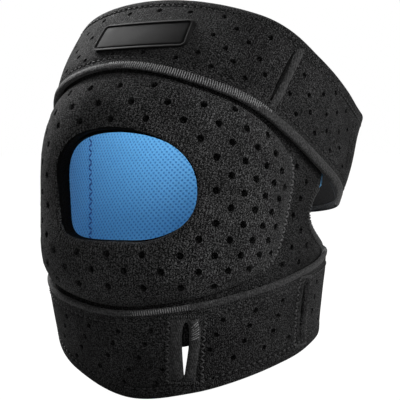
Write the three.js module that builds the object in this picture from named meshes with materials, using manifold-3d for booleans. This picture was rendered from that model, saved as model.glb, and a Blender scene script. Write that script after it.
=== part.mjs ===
// Wraparound knee support in the form that it has on a bent knee: a padded front with an opening for the
// kneecap, a lined panel round the left side and two wrap straps.
// Millimetres, +Z up, the front of the knee towards -Y. The origin is in the middle of the knee.
// Angles are degrees round the leg, from the front towards +X.

import * as THREE from 'three';
import { mergeVertices } from 'three/addons/utils/BufferGeometryUtils.js';
import Module from 'manifold-3d';

const wasm = await Module();
wasm.setup();

// Leg inside the support: a rounded section at each level. The thigh leans back above the knee.
const LEG = [
  { z: -90, halfWidth: 50.3, halfDepth: 49.5, centreY: -2.5 },
  { z: -60, halfWidth: 49.8, halfDepth: 51, centreY: -11 },
  { z: -30, halfWidth: 52.3, halfDepth: 57, centreY: -13 },
  { z: 0, halfWidth: 54.9, halfDepth: 65, centreY: -4.5 },
  { z: 30, halfWidth: 55, halfDepth: 78, centreY: 6.5 },
  { z: 60, halfWidth: 57.8, halfDepth: 87, centreY: 26 },
  { z: 90, halfWidth: 64.3, halfDepth: 84, centreY: 57 },
];
const LEG_POWER = 2.2;

// Heights of the strap edges in each direction round the leg
const STRAP_EDGES = [
  { angle: -180, upperTop: 33, upperBottom: -8.5, lowerTop: -18.5, lowerBottom: -52 },
  { angle: -120, upperTop: 38, upperBottom: -4, lowerTop: -18.5, lowerBottom: -58 },
  { angle: -60, upperTop: 67.5, upperBottom: 29, lowerTop: -29, lowerBottom: -59.5 },
  { angle: 0, upperTop: 90.7, upperBottom: 60, lowerTop: -40.5, lowerBottom: -79.5 },
  { angle: 60, upperTop: 65.2, upperBottom: 30.5, lowerTop: -31, lowerBottom: -68 },
  { angle: 90, upperTop: 52, upperBottom: 14.2, lowerTop: -25, lowerBottom: -62 },
  { angle: 120, upperTop: 42, upperBottom: 0.5, lowerTop: -21, lowerBottom: -57 },
];

// Layers, measured out from the leg
const LAYER_GAP = 0.5;
const LINING = { inner: 0, outer: 0.9 };
const PANEL = { inner: LINING.outer + LAYER_GAP, outer: 4 };
const STRAP = { inner: PANEL.outer + LAYER_GAP, outer: 7.5 };
const STRAP_STEPS = 54;

// Strap section in shares of its thickness, from the inner face, and of its width, up to the edge with the
// rolled hem. That edge faces the pad.
const STRAP_SECTION = [
  { out: 0, along: 0.05 },
  { out: 0, along: 0.275 },
  { out: 0, along: 0.5 },
  { out: 0, along: 0.725 },
  { out: 0, along: 0.95 },
  { out: 0.5, along: 1 },
  { out: 1.3, along: 0.985 },
  { out: 1.4, along: 0.93 },
  { out: 1, along: 0.88 },
  { out: 1, along: 0.67 },
  { out: 1, along: 0.46 },
  { out: 1, along: 0.25 },
  { out: 1, along: 0.05 },
  { out: 0.5, along: 0 },
];

// Panel: from its right edge across the front and the left side to the back. Its top and bottom lie under the
// straps, a share of their width in.
const PANEL_SPAN = { back: -172, right: 122, underUpperStrap: 0.85, underLowerStrap: 0.48 };
const PANEL_GRID = { columns: 33, rows: 11 };

// Waist cut into the panel's right edge, seen from the right
const WAIST = {
  foot: { y: 24, z: -21.5 },
  footPull: { y: -9.5, z: -12 },
  deepest: { y: -8.3, z: -2 },
  headPull: { y: -7.5, z: 4 },
  head: { y: 1, z: 9 },
  top: { y: 25.5, z: 60 },
};

// Pad: a low dome between the two straps. Two of its corners are fuller than the others.
const PAD = { centreAngle: 5, halfAngle: 67, edge: 0.5, rise: 7.3, strapGap: 1.4 };
const PAD_POWER = { upperRight: 6.5, lowerLeft: 7, elsewhere: 4.6 };
const PAD_CROWN = { power: 4, fullness: 0.6 };

// Kneecap opening, seen from the front. Each corner has its own fullness.
const OPENING = { x: 5.9, z: 11.4, halfWidth: 32.3, halfHeight: 23.1 };
const OPENING_POWER = { right: 2.35, upperLeft: 2.5, lowerLeft: 4.5 };
const OPENING_STEPS = 36;
const OPENING_MARGIN = { pad: 0, panel: -1.3, lining: 0.7, perforations: 4 };

// Perforations of the pad: staggered rows. The upper rows arch over the opening, and the columns draw together
// towards the right.
const PERFORATION = { radius: 1.6, depth: 2.2, sides: 5, rim: 0.88 };
const PERFORATION_ROWS = { last: 12, top: 52.9, bottom: -30.4 };
const PERFORATION_ARCH = { angle: 9, top: 0.0052, bottom: -0.0006 };
const PERFORATION_COLUMNS = { start: [2, 0.7], step: [9.04, 13.64], even: 2, crowding: 0.2 };

// Slits through the straps
const SLITS = [
  { strap: 'upper', angle: 47, bottom: 45, top: 67.5, width: 1.2 },
  { strap: 'upper', angle: 111.8, bottom: 17.3, top: 36.7, width: 1.2 },
  { strap: 'lower', angle: 28.5, bottom: -69, top: -44.5, width: 2.6 },
  { strap: 'lower', angle: 87.8, bottom: -57, top: -31.5, width: 1.6 },
];

// Rubber patch on the front of the upper strap, with a raised rim
const PATCH = { angle: 0.8, z: 74.1, halfAngle: 13.8, halfHeight: 6.2, skew: 1.6, tilt: 0.7, thickness: 1.6 };
const PATCH_RIM = { width: 1.3, height: 0.6 };
const PATCH_CORNER_ROUND = 0.08;

// Hook tabs at the back, which close the straps
const TAB = { from: 158, to: 196, thickness: 1.8, low: 0.2, high: 0.8, cornerRound: 0.12 };

const RADIANS = Math.PI / 180;
const lerp = THREE.MathUtils.lerp;

// Smooth value of a table's column between its rows, with the slope at a row taken from its neighbours
function sampleTable(rows, key, column, x) {
  let i = 0;
  while (i < rows.length - 2 && x > rows[i + 1][key]) i += 1;
  const span = rows[i + 1][key] - rows[i][key];
  const slope = (k) => {
    const before = rows[Math.max(k - 1, 0)];
    const after = rows[Math.min(k + 1, rows.length - 1)];
    return ((after[column] - before[column]) / (after[key] - before[key])) * span;
  };
  const t = (x - rows[i][key]) / span;
  const rest = 1 - t;
  const fromRows = rows[i][column] * (1 + 2 * t) * rest * rest + rows[i + 1][column] * (3 - 2 * t) * t * t;
  return fromRows + slope(i) * t * rest * rest - slope(i + 1) * t * t * rest;
}

const EDGES_WRAPPED = [-360, 0, 360].flatMap((turn) =>
  STRAP_EDGES.map((row) => ({ ...row, angle: row.angle + turn })));

function strapEdge(column, angle) {
  return sampleTable(EDGES_WRAPPED, 'angle', column, angle);
}

// Distance of the leg's surface from the middle of its section
function legRadius(angle, z) {
  const halfWidth = sampleTable(LEG, 'z', 'halfWidth', z);
  const halfDepth = sampleTable(LEG, 'z', 'halfDepth', z);
  const across = Math.abs(Math.sin(angle * RADIANS)) / halfWidth;
  const along = Math.abs(Math.cos(angle * RADIANS)) / halfDepth;
  return (across ** LEG_POWER + along ** LEG_POWER) ** (-1 / LEG_POWER);
}

function legPoint(angle, z, offset) {
  const radius = legRadius(angle, z) + offset;
  const centreY = sampleTable(LEG, 'z', 'centreY', z);
  return new THREE.Vector3(radius * Math.sin(angle * RADIANS), centreY - radius * Math.cos(angle * RADIANS), z);
}

// Tangent round the leg, direction up the surface and outward normal at a point of a surface
function surfaceFrame(surface, angle, z) {
  const step = 0.5;
  const origin = surface(angle, z);
  const around = surface(angle + step, z).sub(surface(angle - step, z)).normalize();
  const rise = surface(angle, z + step).sub(surface(angle, z - step));
  const normal = new THREE.Vector3().crossVectors(around, rise).normalize();
  const upward = new THREE.Vector3().crossVectors(normal, around);
  return new THREE.Matrix4().makeBasis(around, upward, normal).setPosition(origin);
}

// Moves each vertex of a geometry and leaves only merged positions
function remap(geometry, map) {
  const position = geometry.getAttribute('position');
  const vertex = new THREE.Vector3();
  for (let i = 0; i < position.count; i += 1) {
    const place = map(vertex.fromBufferAttribute(position, i));
    position.setXYZ(i, place.x, place.y, place.z);
  }
  return bare(geometry);
}

function bare(geometry) {
  geometry.deleteAttribute('normal');
  geometry.deleteAttribute('uv');
  return mergeVertices(geometry, 1e-4);
}

// Open wall: u runs round the leg, v up and w outward, each from 0 to 1
function openWall(columns, rows, map) {
  const block = new THREE.BoxGeometry(1, 1, 1, columns, rows, 1).translate(0.5, 0.5, 0.5);
  return remap(block, (p) => map(p.x, p.y, p.z));
}

function toSolid(geometry) {
  const vertProperties = new Float32Array(geometry.getAttribute('position').array);
  const triVerts = new Uint32Array(geometry.getIndex().array);
  return new wasm.Manifold(new wasm.Mesh({ numProp: 3, vertProperties, triVerts }));
}

function toGeometry(solid) {
  const mesh = solid.getMesh();
  const geometry = new THREE.BufferGeometry();
  geometry.setAttribute('position', new THREE.BufferAttribute(mesh.vertProperties, 3));
  geometry.setIndex(new THREE.BufferAttribute(mesh.triVerts, 1));
  return geometry;
}

function cut(geometry, cutters) {
  return toGeometry(cutters.reduce((solid, cutter) => solid.subtract(toSolid(cutter)), toSolid(geometry)));
}

// Pad: size of a place on a square from -1 to 1, as the rounded outline counts it
function padNorm(side, level) {
  let power = PAD_POWER.elsewhere;
  if (side > 0 && level > 0) power = PAD_POWER.upperRight;
  if (side < 0 && level < 0) power = PAD_POWER.lowerLeft;
  return (Math.abs(side) ** power + Math.abs(level) ** power) ** (1 / power);
}

// Height of the pad's face over the leg. Reach is 0 in its middle and 1 at its rim.
function padReach(angle, z) {
  const low = strapEdge('lowerTop', angle) + PAD.strapGap;
  const high = strapEdge('upperBottom', angle) - PAD.strapGap;
  return padNorm((angle - PAD.centreAngle) / PAD.halfAngle, (2 * (z - low)) / (high - low) - 1);
}

function padHeight(reach) {
  const crown = (1 - Math.min(reach, 1) ** PAD_CROWN.power) ** PAD_CROWN.fullness;
  return STRAP.inner + lerp(PAD.edge, PAD.rise, crown);
}

const padFace = (angle, z) => legPoint(angle, z, padHeight(padReach(angle, z)));

// Kneecap opening: fullness of the corner that a point is in, and how far out the point lies
function openingPower(x, z) {
  if (x > OPENING.x) return OPENING_POWER.right;
  return z > OPENING.z ? OPENING_POWER.upperLeft : OPENING_POWER.lowerLeft;
}

function openingReach(x, z, margin) {
  const power = openingPower(x, z);
  const side = Math.abs(x - OPENING.x) / (OPENING.halfWidth + margin);
  const level = Math.abs(z - OPENING.z) / (OPENING.halfHeight + margin);
  return (side ** power + level ** power) ** (1 / power);
}

// Straight cutter from front to middle with the outline of the opening
function openingCutter(margin) {
  const outline = [];
  for (let i = 0; i < OPENING_STEPS; i += 1) {
    const turn = (2 * Math.PI * i) / OPENING_STEPS;
    const x = Math.cos(turn) * (OPENING.halfWidth + margin);
    const z = Math.sin(turn) * (OPENING.halfHeight + margin);
    const reach = openingReach(OPENING.x + x, OPENING.z + z, margin);
    outline.push(new THREE.Vector2(OPENING.x + x / reach, OPENING.z + z / reach));
  }
  const depth = 150;
  const bar = new THREE.ExtrudeGeometry(new THREE.Shape(outline), { depth, bevelEnabled: false });
  return bare(bar.rotateX(Math.PI / 2));
}

// Place of a perforation in the pad's rows and columns
function perforationPlace(row, column) {
  const { start, step, even, crowding } = PERFORATION_COLUMNS;
  const down = row / PERFORATION_ROWS.last;
  const past = Math.max(column - even, 0);
  const crowded = Math.min(column, even) + past / (1 + crowding * down * past);
  const angle = lerp(...start, down) + lerp(...step, down) * crowded;
  const arch = lerp(PERFORATION_ARCH.top, PERFORATION_ARCH.bottom, down);
  const level = lerp(PERFORATION_ROWS.top, PERFORATION_ROWS.bottom, down);
  return { angle, z: level - arch * (angle - PERFORATION_ARCH.angle) ** 2 };
}

function perforationCutters() {
  const cutters = [];
  const { radius, depth, sides, rim } = PERFORATION;
  const columnsEachSide = 8;
  for (let row = 0; row <= PERFORATION_ROWS.last; row += 1) {
    const stagger = row % 2 === 0 ? 0 : 0.5;
    for (let column = -columnsEachSide; column <= columnsEachSide; column += 1) {
      const { angle, z } = perforationPlace(row, column + stagger);
      const place = padFace(angle, z);
      const clearOpening = openingReach(place.x, place.z, OPENING_MARGIN.perforations) > 1;
      if (padReach(angle, z) < rim && clearOpening) {
        const punch = new THREE.CylinderGeometry(radius, radius, 2 * depth, sides).rotateX(Math.PI / 2);
        cutters.push(bare(punch.applyMatrix4(surfaceFrame(padFace, angle, z))));
      }
    }
  }
  return cutters;
}

function kneePad() {
  const columns = 20;
  const rows = 12;
  const dome = openWall(columns, rows, (u, v, w) => {
    const side = 2 * u - 1;
    const level = 2 * v - 1;
    const reach = Math.max(Math.abs(side), Math.abs(level));
    const norm = padNorm(side, level);
    const squeeze = norm > 0 ? reach / norm : 1;
    const angle = PAD.centreAngle + PAD.halfAngle * side * squeeze;
    const low = strapEdge('lowerTop', angle) + PAD.strapGap;
    const high = strapEdge('upperBottom', angle) - PAD.strapGap;
    const z = lerp(low, high, (1 + level * squeeze) / 2);
    return legPoint(angle, z, w > 0.5 ? padHeight(reach) : STRAP.inner);
  });
  return cut(dome, [openingCutter(OPENING_MARGIN.pad), ...perforationCutters()]);
}

// Cutter for the waist, from the middle of the leg out to the right
function waistCutter() {
  const { foot, footPull, deepest, headPull, head, top } = WAIST;
  const clear = 100;
  const notch = new THREE.Shape();
  notch.moveTo(clear, foot.z);
  notch.lineTo(foot.y, foot.z);
  notch.quadraticCurveTo(footPull.y, footPull.z, deepest.y, deepest.z);
  notch.quadraticCurveTo(headPull.y, headPull.z, head.y, head.z);
  notch.lineTo(top.y, top.z);
  notch.lineTo(clear, top.z);
  const bar = new THREE.ExtrudeGeometry(notch, { depth: clear, bevelEnabled: false, curveSegments: 6 });
  const toYZ = new THREE.Matrix4().set(0, 0, 1, 0, 1, 0, 0, 0, 0, 1, 0, 0, 0, 0, 0, 1);
  return bare(bar.applyMatrix4(toYZ));
}

// Place in the panel's wall or its lining's, with u round the leg from the back and v up
function wrapPlace(layer, u, v, w) {
  const angle = lerp(PANEL_SPAN.back, PANEL_SPAN.right, u);
  const { underLowerStrap, underUpperStrap } = PANEL_SPAN;
  const low = lerp(strapEdge('lowerTop', angle), strapEdge('lowerBottom', angle), underLowerStrap);
  const high = lerp(strapEdge('upperBottom', angle), strapEdge('upperTop', angle), underUpperStrap);
  return legPoint(angle, lerp(low, high, v), lerp(layer.inner, layer.outer, w));
}

function bodyPanel() {
  const { columns, rows } = PANEL_GRID;
  const wall = openWall(columns, rows, (u, v, w) => wrapPlace(PANEL, u, v, w));
  return cut(wall, [openingCutter(OPENING_MARGIN.panel), waistCutter()]);
}

// The lining's grid is turned a quarter, so that its outer facets lie along the panel's inner ones
function panelLining() {
  const { columns, rows } = PANEL_GRID;
  const wall = openWall(rows, columns, (across, along, w) => wrapPlace(LINING, along, 1 - across, w));
  return cut(wall, [openingCutter(OPENING_MARGIN.lining), waistCutter()]);
}

// Closed strap: its section swept round the leg
function strapLoop(plainColumn, hemColumn) {
  const core = 2;
  const profile = STRAP_SECTION.map(({ out, along }) => new THREE.Vector2(core + out, along));
  profile.push(profile[0].clone());
  const hemOnTop = strapEdge(hemColumn, 0) > strapEdge(plainColumn, 0);
  if (hemOnTop) profile.reverse();
  const ring = new THREE.LatheGeometry(profile, STRAP_STEPS);
  return remap(ring, (p) => {
    const angle = Math.atan2(p.x, p.z) / RADIANS;
    const out = Math.hypot(p.x, p.z) - core;
    const z = lerp(strapEdge(plainColumn, angle), strapEdge(hemColumn, angle), p.y);
    return legPoint(angle, z, lerp(STRAP.inner, STRAP.outer, out));
  });
}

const strapFace = (angle, z) => legPoint(angle, z, STRAP.outer);

// Slit cutter: a slender lens between two arcs, pushed through the strap
function slitCutter({ angle, bottom, top, width }) {
  const middle = (bottom + top) / 2;
  const half = strapFace(angle, top).distanceTo(strapFace(angle, bottom)) / 2;
  const lens = new THREE.Shape();
  lens.moveTo(0, -half);
  lens.quadraticCurveTo(width, 0, 0, half);
  lens.quadraticCurveTo(-width, 0, 0, -half);
  const depth = 14;
  const blade = new THREE.ExtrudeGeometry(lens, { depth, bevelEnabled: false, curveSegments: 6 });
  return bare(blade.translate(0, 0, -depth / 2).applyMatrix4(surfaceFrame(strapFace, angle, middle)));
}

const slitCutters = (name) => SLITS.filter((slit) => slit.strap === name).map(slitCutter);

function upperStrap() {
  return cut(strapLoop('upperTop', 'upperBottom'), slitCutters('upper'));
}

function lowerStrap() {
  return cut(strapLoop('lowerBottom', 'lowerTop'), slitCutters('lower'));
}

// Slab on a strap's face, with its corners drawn in
function faceSlab(columns, rows, round, map) {
  return openWall(columns, rows, (u, v, w) => {
    const side = 2 * u - 1;
    const level = 2 * v - 1;
    return map(side * (1 - round * level ** 6), level * (1 - round * side ** 6), w);
  });
}

function rubberPatch() {
  const face = STRAP.outer + LAYER_GAP;
  const slab = (inset, inner, outer) => {
    const insetAngle = inset / (legRadius(PATCH.angle, PATCH.z) + face) / RADIANS;
    return faceSlab(8, 3, PATCH_CORNER_ROUND, (side, level, w) => {
      const angle = PATCH.angle + side * (PATCH.halfAngle - insetAngle) - (level * PATCH.skew) / 2;
      const z = PATCH.z + side * PATCH.tilt + level * (PATCH.halfHeight - inset);
      return legPoint(angle, z, lerp(inner, outer, w));
    });
  };
  const top = face + PATCH.thickness;
  return cut(slab(0, face, top), [slab(PATCH_RIM.width, top - PATCH_RIM.height, top + PATCH_RIM.height)]);
}

function fasteningTab(name) {
  const face = STRAP.outer + LAYER_GAP;
  return faceSlab(7, 3, TAB.cornerRound, (side, level, w) => {
    const angle = lerp(TAB.from, TAB.to, (1 + side) / 2);
    const height = lerp(TAB.low, TAB.high, (1 + level) / 2);
    const z = lerp(strapEdge(`${name}Bottom`, angle), strapEdge(`${name}Top`, angle), height);
    return legPoint(angle, z, lerp(face, face + TAB.thickness, w));
  });
}

// Materials
const knit = { color: 0x1d1d1e, roughness: 0.9, metalness: 0 };
const MATERIALS = {
  paddedKnit: new THREE.MeshStandardMaterial(knit),
  neoprene: new THREE.MeshStandardMaterial({ ...knit, color: 0x171718 }),
  blueMesh: new THREE.MeshStandardMaterial({ color: 0x4a94cf, roughness: 0.75, metalness: 0 }),
  strapKnit: new THREE.MeshStandardMaterial({ ...knit, color: 0x222223 }),
  rubber: new THREE.MeshStandardMaterial({ color: 0x2a2b2d, roughness: 0.5, metalness: 0 }),
  hookTape: new THREE.MeshStandardMaterial({ color: 0x141415, roughness: 0.8, metalness: 0 }),
};

const PIECES = [
  { name: 'panel_lining', geometry: panelLining(), material: MATERIALS.blueMesh },
  { name: 'body_panel', geometry: bodyPanel(), material: MATERIALS.neoprene },
  { name: 'knee_pad', geometry: kneePad(), material: MATERIALS.paddedKnit },
  { name: 'upper_strap', geometry: upperStrap(), material: MATERIALS.strapKnit },
  { name: 'lower_strap', geometry: lowerStrap(), material: MATERIALS.strapKnit },
  { name: 'rubber_patch', geometry: rubberPatch(), material: MATERIALS.rubber },
  { name: 'upper_fastening_tab', geometry: fasteningTab('upper'), material: MATERIALS.hookTape },
  { name: 'lower_fastening_tab', geometry: fasteningTab('lower'), material: MATERIALS.hookTape },
];

const kneeSupport = new THREE.Group();
for (const { name, geometry, material } of PIECES) {
  const piece = new THREE.Mesh(geometry, material);
  piece.name = name;
  kneeSupport.add(piece);
}

export default kneeSupport;
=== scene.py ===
# Wraparound knee support in the form that it has on a bent knee: a padded front with an opening for the
# kneecap, a lined panel round the left side, two wrap straps, a bare rubber patch and two hook tabs.
# Tables and sizes are in millimetres and degrees, with angles round the leg from the front towards +X.
# leg_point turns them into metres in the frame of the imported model.

import math
from collections import namedtuple

import bmesh
import bpy
import numpy as np
from mathutils import Matrix, Vector


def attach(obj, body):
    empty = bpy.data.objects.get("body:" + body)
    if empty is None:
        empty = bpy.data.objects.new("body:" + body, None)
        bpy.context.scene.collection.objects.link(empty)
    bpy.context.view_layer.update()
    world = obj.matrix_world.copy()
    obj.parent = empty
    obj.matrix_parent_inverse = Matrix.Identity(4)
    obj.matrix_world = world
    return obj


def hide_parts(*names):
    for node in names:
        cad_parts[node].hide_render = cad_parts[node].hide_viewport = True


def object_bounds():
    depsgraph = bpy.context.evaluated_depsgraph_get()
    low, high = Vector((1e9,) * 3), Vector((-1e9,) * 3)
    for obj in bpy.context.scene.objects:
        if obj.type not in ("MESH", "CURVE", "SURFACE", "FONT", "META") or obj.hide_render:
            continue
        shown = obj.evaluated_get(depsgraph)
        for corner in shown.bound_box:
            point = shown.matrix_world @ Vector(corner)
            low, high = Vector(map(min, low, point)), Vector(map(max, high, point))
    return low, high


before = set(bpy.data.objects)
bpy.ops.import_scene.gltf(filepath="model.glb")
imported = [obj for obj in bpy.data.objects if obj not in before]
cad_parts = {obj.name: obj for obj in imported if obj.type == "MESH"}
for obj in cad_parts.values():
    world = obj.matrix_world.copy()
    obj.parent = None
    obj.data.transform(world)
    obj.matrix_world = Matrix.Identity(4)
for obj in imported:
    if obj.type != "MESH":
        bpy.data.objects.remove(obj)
cad_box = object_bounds()

MM = 0.001

# Rounds of the search for an angle
ROUNDS = 24

# Leg inside the support: a rounded section at each level
LEG_LEVEL = np.array([-90.0, -60.0, -30.0, 0.0, 30.0, 60.0, 90.0])
LEG_HALF_WIDTH = np.array([50.3, 49.8, 52.3, 54.9, 55.0, 57.8, 64.3])
LEG_HALF_DEPTH = np.array([49.5, 51.0, 57.0, 65.0, 78.0, 87.0, 84.0])
LEG_CENTRE_Y = np.array([-2.5, -11.0, -13.0, -4.5, 6.5, 26.0, 57.0])
LEG_POWER = 2.2

# Heights of the strap edges in each direction round the leg
EDGE_ANGLE = np.array([-180.0, -120.0, -60.0, -30.0, 0.0, 30.0, 60.0, 90.0, 120.0])
STRAP_EDGES = {
    "upper_top": np.array([33.0, 38.0, 67.5, 83.5, 90.4, 83.0, 65.2, 52.0, 42.0]),
    "upper_bottom": np.array([-8.5, -4.0, 29.0, 48.0, 59.4, 48.8, 30.5, 14.2, 0.5]),
    "lower_top": np.array([-18.5, -18.5, -29.0, -36.0, -40.5, -37.2, -31.0, -25.0, -21.0]),
    "lower_bottom": np.array([-52.0, -58.0, -59.5, -70.3, -79.5, -75.7, -68.0, -62.0, -57.0]),
}
PLAIN_EDGE = {"upper": "upper_top", "lower": "lower_bottom"}
HEM_EDGE = {"upper": "upper_bottom", "lower": "lower_top"}

# Layers, measured out from the leg
LINING_INNER, LINING_OUTER = 0.0, 0.9
PANEL_INNER, PANEL_OUTER = 1.4, 4.0
STRAP_INNER, STRAP_OUTER = 4.5, 7.5

# Panel and lining: from the back round the left side to the right edge, and how far under the straps
PANEL_BACK, PANEL_RIGHT = -172.0, 122.0
UNDER_UPPER, UNDER_LOWER = 0.85, 0.48

# Waist cut into the right edge, as points (y, z) seen from the right
WAIST_FOOT, WAIST_FOOT_PULL, WAIST_DEEPEST = (24.0, -21.5), (-9.5, -12.0), (-8.3, -2.0)
WAIST_HEAD_PULL, WAIST_HEAD, WAIST_TOP = (-7.5, 4.0), (1.0, 9.0), (25.5, 60.0)
LINING_PEEK = 10.0

# Pad. Two of its corners are fuller than the others.
PAD_CENTRE, PAD_HALF_ANGLE = 3.0, 65.0
PAD_UPPER_RIGHT, PAD_LOWER_LEFT, PAD_ELSEWHERE = 6.5, 7.0, 4.6
PAD_EDGE, PAD_RISE, PAD_STRAP_GAP = 0.5, 6.7, 1.4
PAD_CROWN_POWER, PAD_CROWN_FULLNESS = 4.0, 0.6

# Swelling of the pad's face as cloth: every so many columns of its net, stiffness, pressure, steps, and the
# most that a point may move
SWELL_COLUMNS, SWELL_STIFFNESS, SWELL_PRESSURE, SWELL_STEPS, SWELL_MOST = 3, 2.0, 48.0, 20, 1.2

# Kneecap opening, seen from the front: place and size, fullness of the corners, droop of the right end, how
# much wider the panel and the lining are cut, roll of the pad's rim, and reach of the painted shade over it
OPENING_X, OPENING_Z, OPENING_HALF_WIDTH, OPENING_HALF_HEIGHT = 5.1, 11.4, 31.5, 23.1
OPENING_RIGHT, OPENING_UPPER_LEFT, OPENING_LOWER_LEFT, OPENING_DROOP = 2.35, 2.5, 6.0, 1.3
PANEL_OPENING_MARGIN, LINING_OPENING_MARGIN = -1.3, 0.7
WALL_OPENING_LEFT, WALL_OPENING_BELOW = 3.8, 2.2
# Roll of the pad's rim, then the reach of the near-black painted shade at the opening, above and at the
# bottom
OPENING_ROLL, PAD_OPENING_SHADE, PAD_OPENING_SHADE_BELOW = 2.6, 1.0, 0.0

# Perforations of the pad: staggered rows. The upper rows arch over the opening, and the columns draw together
# towards the right. A pair is for the first row and the last one.
ROW_LAST, ROW_LEVEL = 12, (52.9, -30.4)
ARCH_ANGLE, ROW_ARCH = 9.0, (0.0052, -0.0006)
COLUMN_START, COLUMN_STEP, COLUMNS_EVEN, COLUMN_CROWDING = (2.0, 0.7), (9.04, 13.64), 2.0, 0.13
HOLES_REACH, HOLES_RIGHT, HOLES_FROM_OPENING = 0.95, 64.0, 3.6
DIMPLE_DEPTH, DIMPLE_SPREAD = 0.5, 2.2

# Perforations of the panel and the straps: plain staggered rows
PERFORATION_PITCH, PANEL_HOLE_ROW, STRAP_HOLE_ROW = 15.2, 6.9, 5.9
PAD_HOLE_RADIUS, PANEL_HOLE_RADIUS, STRAP_HOLE_RADIUS = 1.6, 1.4, 1.25
PAD_HOLE_DEPTH, PANEL_HOLE_DEPTH, STRAP_HOLE_DEPTH = 4.5, 1.7, 2.0

# How far the straps' holes stay from the stitch lines of the hem and of the plain edge
HOLES_FROM_HEM, HOLES_FROM_PLAIN = 3.8, 2.0

# How far the panel's holes stay from the straps, the back edge and the waist, and the least pad_reach at one
HOLES_FROM_STRAP, HOLES_FROM_BACK, HOLES_FROM_WAIST, HOLES_PAD_REACH = 1.5, 6.0, 4.5, 1.06

# Making of a strap: radius of the rolled edge, height of its crest, width up to where it falls and of its
# fall, distance of the stitch lines from the hem and from the plain edge, and rows of holes
StrapMake = namedtuple("StrapMake", "roll crest flat fall hem_groove plain_groove hole_rows")
STRAP_MAKE = {
    "upper": StrapMake(1.6, 3.95, 2.9, 3.2, 7.8, 4.4, 7),
    "lower": StrapMake(1.1, 3.45, 1.5, 1.9, 5.8, 5.0, 6),
}

# Slits through the straps: angle and height of both ends, width, the share of it that is lost at the lower
# end, half the width of the sewn band beside the slit, and how far its lips stand out
Slit = namedtuple("Slit", "strap low_angle low high_angle high width taper band left_lip right_lip")
SLITS = [
    Slit("upper", 46.3, 45.0, 47.7, 67.5, 2.1, 0.0, 5.2, 0.35, 1.3),
    Slit("upper", 111.5, 17.3, 112.1, 36.7, 1.3, 0.0, 4.2, 0.4, 0.6),
    Slit("lower", 27.1, -69.0, 30.1, -44.5, 4.4, 0.8, 8.2, 0.7, 2.0),
    Slit("lower", 86.9, -57.0, 88.7, -31.5, 3.0, 0.3, 6.0, 0.5, 1.0),
]
LIP_WIDTH, LIP_WIDTH_GAIN, WIDE_SLIT = 2.2, 0.6, 3.0

# Unevenness of the straps, and the angle up to which the rolled hem has its own lighter cloth, partly painted
# highlight
STRAP_WAVE, HEM_CLOTH_TO = 0.22, 128.0

# Where the straps bulge or lie closer at the right flank: amount, angle and its spread, height and its spread
STRAP_EASE = {
    "upper": [(1.9, 114.0, 18.0, 20.0, 13.0), (-1.0, 114.0, 18.0, 48.0, 9.0), (-2.4, 114.0, 18.0, 0.0, 5.0)],
    "lower": [(0.8, 110.0, 16.0, -42.0, 11.0), (-1.5, 116.0, 14.0, -21.0, 5.0)],
}

# Rubber patch and hook tabs. A plate has half a length, half a height and a corner radius on the strap.
PATCH_ANGLE, PATCH_LEVEL, PATCH_HALF_ANGLE, PATCH_HALF_HEIGHT = 0.8, 74.1, 13.8, 6.2
PATCH_SKEW, PATCH_TILT, PATCH_PLATE = 1.6, 0.7, (22.3, 8.4, 3.2)
TAB_FROM, TAB_TO, TAB_LOW, TAB_HIGH = 158.0, 196.0, 0.2, 0.8
TAB_HALF_LENGTH, TAB_CORNER, PLATE_BASE = 20.0, 4.0, STRAP_OUTER - 0.05

# Seam between the front and the left wing
WING_SEAM_LEVEL = np.array([-30.0, -13.6, 5.1, 26.4, 48.0])
WING_SEAM_ANGLE = np.array([-90.8, -86.9, -82.4, -73.4, -64.3])

# Radius at which the weave counts its millimetres round the leg
WEAVE_RADIUS = 62.0

# Light of the white room on the part. A lamp has an azimuth, an elevation, a distance and a size in metres,
# and watts. The camera has a direction, a distance, a lens and a shift.
AMBIENT = 0.25
LIGHTS = {
    "key_right": (87, 24, 0.9, 0.5, 11.5),
    "fill_front": (42, 12, 1.1, 0.7, 3.2),
    "rim_left": (-117, 42, 0.9, 0.5, 21),
}
CAMERA_AZIMUTH, CAMERA_ELEVATION, CAMERA_DISTANCE = 29.8, 3.4, 0.65
CAMERA_LENS, CAMERA_SENSOR, CAMERA_SHIFT = 127.2, 36, (-0.0047, 0.008)


# Shape of the leg and of what lies on it

def unit(vectors):
    return vectors / np.linalg.norm(vectors, axis=-1, keepdims=True)


def lerp(start, end, share):
    return start + (end - start) * share


def smooth_table(keys, values, x):
    """Smooth value of a table at x, with the slope at a row taken from its neighbours."""
    last = len(keys) - 1
    rows = np.arange(last + 1)
    before, after = np.maximum(rows - 1, 0), np.minimum(rows + 1, last)
    slopes = (values[after] - values[before]) / (keys[after] - keys[before])
    row = np.clip(np.searchsorted(keys, x) - 1, 0, last - 1)
    span = keys[row + 1] - keys[row]
    t = (x - keys[row]) / span
    rest = 1 - t
    level = values[row] * (1 + 2 * t) * rest**2 + values[row + 1] * (3 - 2 * t) * t**2
    return level + span * (slopes[row] * t * rest**2 - slopes[row + 1] * t**2 * rest)


def strap_edge(edge, angle):
    keys = np.concatenate([EDGE_ANGLE - 360, EDGE_ANGLE, EDGE_ANGLE + 360])
    return smooth_table(keys, np.tile(STRAP_EDGES[edge], 3), angle)


def leg_radius(angle, z):
    across = np.abs(np.sin(np.radians(angle))) / smooth_table(LEG_LEVEL, LEG_HALF_WIDTH, z)
    along = np.abs(np.cos(np.radians(angle))) / smooth_table(LEG_LEVEL, LEG_HALF_DEPTH, z)
    return (across**LEG_POWER + along**LEG_POWER) ** (-1 / LEG_POWER)


def leg_point(angle, z, offset):
    """Point in metres at an angle and height, offset millimetres out from the leg."""
    angle, z, offset = np.broadcast_arrays(*(np.asarray(x, float) for x in (angle, z, offset)))
    radius = leg_radius(angle, z) + offset
    turn = np.radians(angle)
    y = smooth_table(LEG_LEVEL, LEG_CENTRE_Y, z) - radius * np.cos(turn)
    return np.stack([radius * np.sin(turn), y, z], axis=-1) * MM


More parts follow.
